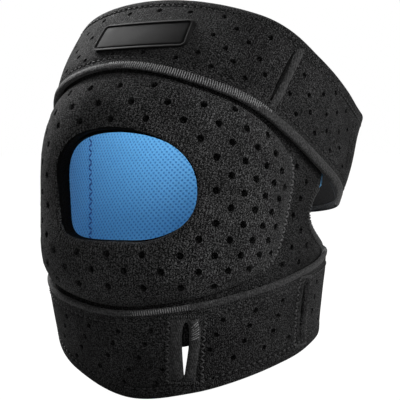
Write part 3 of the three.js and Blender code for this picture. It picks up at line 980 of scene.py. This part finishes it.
def strap_perforations(strap, make):
    """Rows of holes along the strap, clear of the hems, the slits, the patch and the tab."""
    angle = np.linspace(-180, 180, 3601)
    places = []
    for row in range(make.hole_rows):
        across = make.hem_groove + HOLES_FROM_HEM + row * STRAP_HOLE_ROW
        z = strap_level(strap, angle, 1, -across)
        steps = even_steps(angle, z, STRAP_OUTER, PERFORATION_PITCH / 4)
        at, level = (step[2 * (row % 2)::4] for step in steps)
        plain_gap = np.abs(level - strap_edge(PLAIN_EDGE[strap], at)) * across_scale(strap, at)
        keep = (plain_gap > make.plain_groove + HOLES_FROM_PLAIN) & (np.abs(at) < TAB_FROM - 2)
        for slit in slits_of(strap):
            beside = np.abs(beside_slit(slit, at, level))
            keep &= (beside > slit.band + 1.0) | (level < slit.low - 3) | (level > slit.high + 3)
        if strap == "upper":
            keep &= (np.abs(at - PATCH_ANGLE) > PATCH_HALF_ANGLE + 2.5) | (
                np.abs(level - PATCH_LEVEL) > PATCH_HALF_HEIGHT + 1.2)
        places.append(np.stack([at[keep], level[keep]]))
    return np.concatenate(places, axis=1)


def wrap_strap(name, strap, replaces):
    make = STRAP_MAKE[strap]
    section = strap_section(make)
    near_slits = [np.linspace(slit.low_angle - 9, slit.high_angle + 9, 72) for slit in slits_of(strap)]
    angle = np.unique(np.concatenate([np.linspace(-180, 180, 481), *near_slits]))[:, None]
    share, shift, out = (column[None, :] for column in np.concatenate([section, section[:1]]).T)
    z = strap_level(strap, angle, share, shift)
    lift = slit_lips(strap, angle, z) + strap_wave(strap, angle, z) + strap_ease(strap, angle, z)
    lift = lift * np.clip(out / 2.5, 0, 1)
    net = leg_point(angle, z, STRAP_INNER + out + lift)
    net[-1] = net[0]
    piece = net_piece(name, net)

    holes = frames_on(strap_face, *strap_perforations(strap, make))
    perforate(piece, holes, STRAP_HOLE_RADIUS, STRAP_HOLE_DEPTH, 8)
    cutters = bmesh.new()
    for slit in slits_of(strap):
        cut_slit(cutters, slit)
    carve(piece, cutters)
    lay_weave(piece)
    dress(piece, "strap_knit", strap_knit, hem_jersey_and_highlight, strap_backing_and_shade, replaces=replaces)
    bind_hem(piece, strap, make.flat + 0.6 * make.fall)


def cut_slit(bm, slit):
    """Adds a slender blade that goes through the strap along a slit."""
    foot, head = strap_face(slit.low_angle, slit.low), strap_face(slit.high_angle, slit.high)
    level = (slit.low + slit.high) / 2
    angle = slit_line(slit, level)
    along = unit(head - foot)
    _, normal = tangents(strap_face, angle, level)
    side = unit(np.cross(along, normal))
    turn = Matrix((side, along, np.cross(side, along))).transposed().to_4x4()
    lie = Matrix.Translation(strap_face(angle, level)) @ turn
    size = Matrix.Diagonal((slit.width * MM / 2, np.linalg.norm(head - foot) / 2, 1, 1))
    blade = bmesh.ops.create_cone(bm, cap_ends=True, segments=40, radius1=1, radius2=1, depth=0.016)["verts"]
    for vertex in blade:
        vertex.co.x *= 1 - slit.taper * (1 - vertex.co.y) / 2
    bmesh.ops.transform(bm, matrix=lie @ size, verts=blade)


def bind_hem(piece, strap, hem_width):
    """Gives the rolled edge and the high lips of slits a smoother cloth, lighter in part as a painted
    highlight, and the inside its black backing, darkened further as painted shade.
    """
    angle, z, radius = vertex_places(piece.data)
    from_hem = np.abs(z - strap_edge(HEM_EDGE[strap], angle)) * across_scale(strap, angle)
    smooth = (from_hem < hem_width) & (np.abs(angle) < HEM_CLOTH_TO)
    for slit in (s for s in slits_of(strap) if s.right_lip > 1):
        beside, gape = beside_slit(slit, angle, z), slit_gape(slit, z)
        left = slit.band - 1.2 if slit.width > WIDE_SLIT else gape
        near = (beside > -left) & (beside < gape + lip_width(slit))
        smooth |= near & (z > slit.low - 1.5) & (z < slit.high + 1.5)
    # Hems and high lips: lighter cloth, partly painted highlight
    paint(piece, 1, smooth)
    # The inner face gets the near-black backing, partly painted shade
    paint(piece, 2, radius - leg_radius(angle, z) < STRAP_INNER + 0.3)


# Patch and tabs

def round_corners(x, y, half_length, half_height, radius):
    """Moves a rectangle's points so that its corners are round, and gives their distance from its border."""
    over_x, over_y = np.abs(x) - (half_length - radius), np.abs(y) - (half_height - radius)
    corner = (over_x > 0) & (over_y > 0)
    squeeze = np.where(corner, np.maximum(over_x, over_y) / np.maximum(np.hypot(over_x, over_y), 1e-9), 1)
    x = np.where(corner, np.sign(x) * (half_length - radius + over_x * squeeze), x)
    y = np.where(corner, np.sign(y) * (half_height - radius + over_y * squeeze), y)
    return x, y, radius - np.maximum(over_x, over_y)


def face_plate(name, place, half_length, half_height, corner, profile, columns, rows):
    """Plate on a strap. Its profile is a table of distances from its border and heights over its base."""
    across = np.linspace(-half_length, half_length, columns + 1)[:, None]
    up = np.linspace(-half_height, half_height, rows + 1)[None, :]
    x, y, border = round_corners(across + 0 * up, up + 0 * across, half_length, half_height, corner)
    angle, z = place(x / half_length, y / half_height)
    height = np.interp(border, *np.array(profile).T)
    plate = net_piece(name, leg_point(angle, z, PLATE_BASE + height), leg_point(angle, z, PLATE_BASE))
    plate.data.set_sharp_from_angle(angle=math.radians(50))
    lay_weave(plate)
    return plate


def patch_place(side, level):
    z = PATCH_LEVEL + side * PATCH_TILT + level * PATCH_HALF_HEIGHT
    return PATCH_ANGLE + side * PATCH_HALF_ANGLE - level * PATCH_SKEW / 2, z


def tab_place(strap, side, level):
    angle = lerp(TAB_FROM, TAB_TO, (1 + side) / 2)
    low, high = strap_edge(strap + "_bottom", angle), strap_edge(strap + "_top", angle)
    return angle, lerp(low, high, lerp(TAB_LOW, TAB_HIGH, (1 + level) / 2))


def rubber_patch():
    profile = [(0, 0), (0.12, 0.9), (0.3, 1.75), (0.6, 2.15), (1.15, 2.15), (1.45, 1.8), (1.65, 1.2),
               (2.0, 1.15), (2.2, 1.35), (2.6, 1.55), (3.2, 1.6)]
    patch = face_plate("rubber_patch_bare", patch_place, *PATCH_PLATE, profile, 190, 76)
    dress(patch, "rubber", matt_rubber, replaces="rubber_patch")


def hook_tab(name, strap, half_height, replaces):
    profile = [(0, 0), (0.15, 0.9), (0.5, 1.6), (1.2, 1.9), (2.2, 1.85), (2.6, 1.55), (3.0, 1.85), (3.6, 2.0)]

    def place(side, level):
        return tab_place(strap, side, level)

    tab = face_plate(name, place, TAB_HALF_LENGTH, half_height, TAB_CORNER, profile, 120, 72)
    dress(tab, "hook_tape", hook_tape, replaces=replaces)


# Sewing

def strap_line(strap, share, shift):
    angle = np.linspace(-180, 180, 1801)
    return angle, strap_level(strap, angle, share, shift)


def slit_sides(slit, side):
    """Line beside a slit, and the short lines across its two ends."""
    reach = math.degrees((slit.band - 0.6) / WEAVE_RADIUS)
    z = np.linspace(slit.low - 2.2, slit.high + 2.2, 60)
    ends = []
    for level in (z[0], z[-1]):
        across = np.linspace(-reach, reach, 30)
        ends.append((slit_line(slit, level) + across, np.full(30, level)))
    return (slit_line(slit, z) + side * reach, z), ends


def strap_stitches(name, strap):
    make = STRAP_MAKE[strap]
    runs = []
    for share, shift in ((1, -make.hem_groove), (0, make.plain_groove)):
        line = strap_line(strap, share, shift)
        runs.append(sew(*line, STRAP_OUTER, pitch=2.9, length=2.2, width=0.8, rise=0.45, lift=-0.25))
    thread_piece(name, "strap_knit", black_thread, *runs)


def slit_stitches():
    """Zigzags that hold the sewn bands beside the slits of the calf strap."""
    runs = []
    for slit in slits_of("lower"):
        for side in (-1, 1):
            line, ends = slit_sides(slit, side)
            runs.append(sew(*line, STRAP_OUTER, pitch=1.6, length=2.4, width=0.8, rise=0.5,
                            turns=(55.0, 125.0)))
        for end in ends:
            runs.append(sew(*end, STRAP_OUTER, pitch=0.9, length=1.6, width=0.6, rise=0.4,
                            turns=(70.0, 110.0), lift=0.1))
    thread_piece("slit_stitches", "strap_knit", charcoal_thread, *runs)


def hem_overlock(name, strap, shift, offset, length, first, last):
    """Threads that lie close together across the front of a hem, between two angles. Their pale colour is a
    painted highlight.
    """
    angle, z = strap_line(strap, 1, shift)
    front = (angle > first) & (angle < last)

    def fade(at):
        return np.clip((at - first) / 20, 0.02, 1) * np.clip((last - at) / 16, 0.02, 1)

    run = sew(angle[front], z[front], offset, pitch=1.0, length=length, width=0.6, rise=0.5,
              turns=(86.0, 95.0, 90.0), fade=fade)
    thread_piece(name, "strap_knit", painted_highlight_thread, run)


def slit_overlock():
    """Slanting threads over the right lip of the wide slit, at its upper end. Their pale colour is a painted
    highlight.
    """
    slit = next(s for s in SLITS if s.width > WIDE_SLIT)
    z = np.linspace(lerp(slit.low, slit.high, 0.7), slit.high - 0.5, 60)
    lip = slit_gape(slit, z) + lip_width(slit) / 2
    angle = slit_line(slit, z) + np.degrees(lip / WEAVE_RADIUS)
    offset = STRAP_OUTER + slit.right_lip * 0.85
    run = sew(angle, z, offset, pitch=1.0, length=4.4, width=0.6, rise=0.45, turns=(118.0, 126.0))
    thread_piece("slit_overlock", "strap_knit", painted_highlight_thread, run)


def pad_seam():
    """Zigzag that holds the sides of the pad's rim to the panel."""
    runs = []
    for middle in (0, math.pi):
        rim = pad_rim(np.linspace(middle - 0.75, middle + 0.75, 300), 0.5)
        runs.append(sew(*rim, STRAP_INNER, pitch=1.7, length=2.8, width=1.1, rise=0.6,
                        turns=(60.0, 120.0), lift=0.25))
    thread_piece("pad_rim_zigzag", "padded_knit", grey_thread, *runs)


def panel_edge_overlock():
    """Threads over the free edge of the waist."""
    y, z = waist_line(0)[:-1].T
    fine = np.linspace(0, len(y) - 1, 400)
    y, z = np.interp(fine, np.arange(len(y)), y), np.interp(fine, np.arange(len(z)), z)
    angle = edge_angle(y, z, PANEL_OUTER) - 1.3
    run = sew(angle, z, PANEL_OUTER, pitch=1.5, length=3.8, width=1.0, rise=0.7, turns=(84.0, 96.0), lift=0.1)
    thread_piece("waist_overlock", "neoprene", black_thread, run)


def wing_seam():
    """Zigzag seam between the front and the left wing, inside on the lining and outside on the panel."""
    z = np.linspace(WING_SEAM_LEVEL[0], WING_SEAM_LEVEL[-1], 200)
    angle = smooth_table(WING_SEAM_LEVEL, WING_SEAM_ANGLE, z)
    for name, slot, offset, thread in (("lining_zigzag", "blue_mesh", LINING_INNER, navy_thread),
                                       ("panel_zigzag", "neoprene", PANEL_OUTER, black_thread)):
        run = sew(angle, z, offset, pitch=2.3, length=3.8, width=1.0, rise=0.5, turns=(58.0, -58.0))
        thread_piece(name, slot, thread, run)


def tab_stitches():
    turn = np.linspace(0, 2 * math.pi, 400)
    side = np.sign(np.cos(turn)) * np.abs(np.cos(turn)) ** 0.2 * 0.87
    level = np.sign(np.sin(turn)) * np.abs(np.sin(turn)) ** 0.2 * 0.79
    runs = []
    for strap in ("upper", "lower"):
        line = tab_place(strap, side, level)
        runs.append(sew(*line, STRAP_OUTER + 1.6, pitch=2.4, length=1.8, width=0.7, rise=0.35))
    thread_piece("tab_stitches", "hook_tape", black_thread, *runs)


padded_front()
wrap_panel()
mesh_lining()
wrap_strap("thigh_strap", "upper", "upper_strap")
wrap_strap("calf_strap", "lower", "lower_strap")
rubber_patch()
hook_tab("thigh_hook_tab", "upper", 12.4, "upper_fastening_tab")
hook_tab("calf_hook_tab", "lower", 10.3, "lower_fastening_tab")
strap_stitches("thigh_strap_stitches", "upper")
strap_stitches("calf_strap_stitches", "lower")
hem_overlock("thigh_hem_overlock", "upper", -3.0, 8.3, 4.2, -4, 48)
hem_overlock("calf_hem_overlock", "lower", -1.4, 7.85, 2.4, 5, 42)
slit_stitches()
slit_overlock()
pad_seam()
panel_edge_overlock()
wing_seam()
tab_stitches()


# Stage, lights and camera

def stage_floor():
    white = Finish("studio_floor")
    bounce = white.node("ShaderNodeBsdfDiffuse", {"Color": (0.4, 0.4, 0.4, 1)})
    glow = white.node("ShaderNodeEmission", {"Color": (1, 1, 1, 1), "Strength": 1.08})
    seen = white.node("ShaderNodeLightPath", output="Is Camera Ray")
    shade = white.node("ShaderNodeMixShader", {0: seen * 0.93, 1: bounce, 2: glow})
    white.node("ShaderNodeOutputMaterial", {"Surface": shade})
    bm = bmesh.new()
    bmesh.ops.create_circle(bm, cap_ends=True, segments=64, radius=4)
    bmesh.ops.translate(bm, verts=bm.verts, vec=(0, 0, cad_box[0][2] - 0.0005))
    floor = make_piece("studio_floor", bm)
    floor.data.materials.append(white.owner)


def studio_world():
    """White room that is fully bright to the camera alone."""
    white = Finish("studio_white", bpy.data.worlds)
    seen = white.node("ShaderNodeLightPath", output="Is Camera Ray")
    strength = seen * (1 - AMBIENT) + AMBIENT
    sky = white.node("ShaderNodeBackground", {"Color": (1, 1, 1, 1), "Strength": strength})
    white.node("ShaderNodeOutputWorld", {"Surface": sky})
    bpy.context.scene.world = white.owner


def aim(name, data, azimuth, elevation, distance):
    """Adds a lamp or a camera that looks at the origin, with azimuth from the front towards +X."""
    az, el = math.radians(azimuth), math.radians(elevation)
    thing = bpy.data.objects.new(name, data)
    way = Vector((math.sin(az) * math.cos(el), -math.cos(az) * math.cos(el), math.sin(el)))
    thing.location = way * distance
    thing.rotation_euler = way.to_track_quat("Z", "Y").to_euler()
    bpy.context.scene.collection.objects.link(thing)
    return thing


def soft_light(name, azimuth, elevation, distance, size, watts):
    light = bpy.data.lights.new(name, "AREA")
    light.shape = "DISK"
    light.size = size
    light.energy = watts
    aim(name, light, azimuth, elevation, distance)


def photo_camera():
    camera = bpy.data.cameras.new("camera")
    camera.lens = CAMERA_LENS
    camera.sensor_width = CAMERA_SENSOR
    camera.shift_x, camera.shift_y = CAMERA_SHIFT
    bpy.context.scene.camera = aim("camera", camera, CAMERA_AZIMUTH, CAMERA_ELEVATION, CAMERA_DISTANCE)


stage_floor()
studio_world()
for light_name, light in LIGHTS.items():
    soft_light(light_name, *light)
photo_camera()
bpy.context.scene.view_settings.view_transform = "Standard"
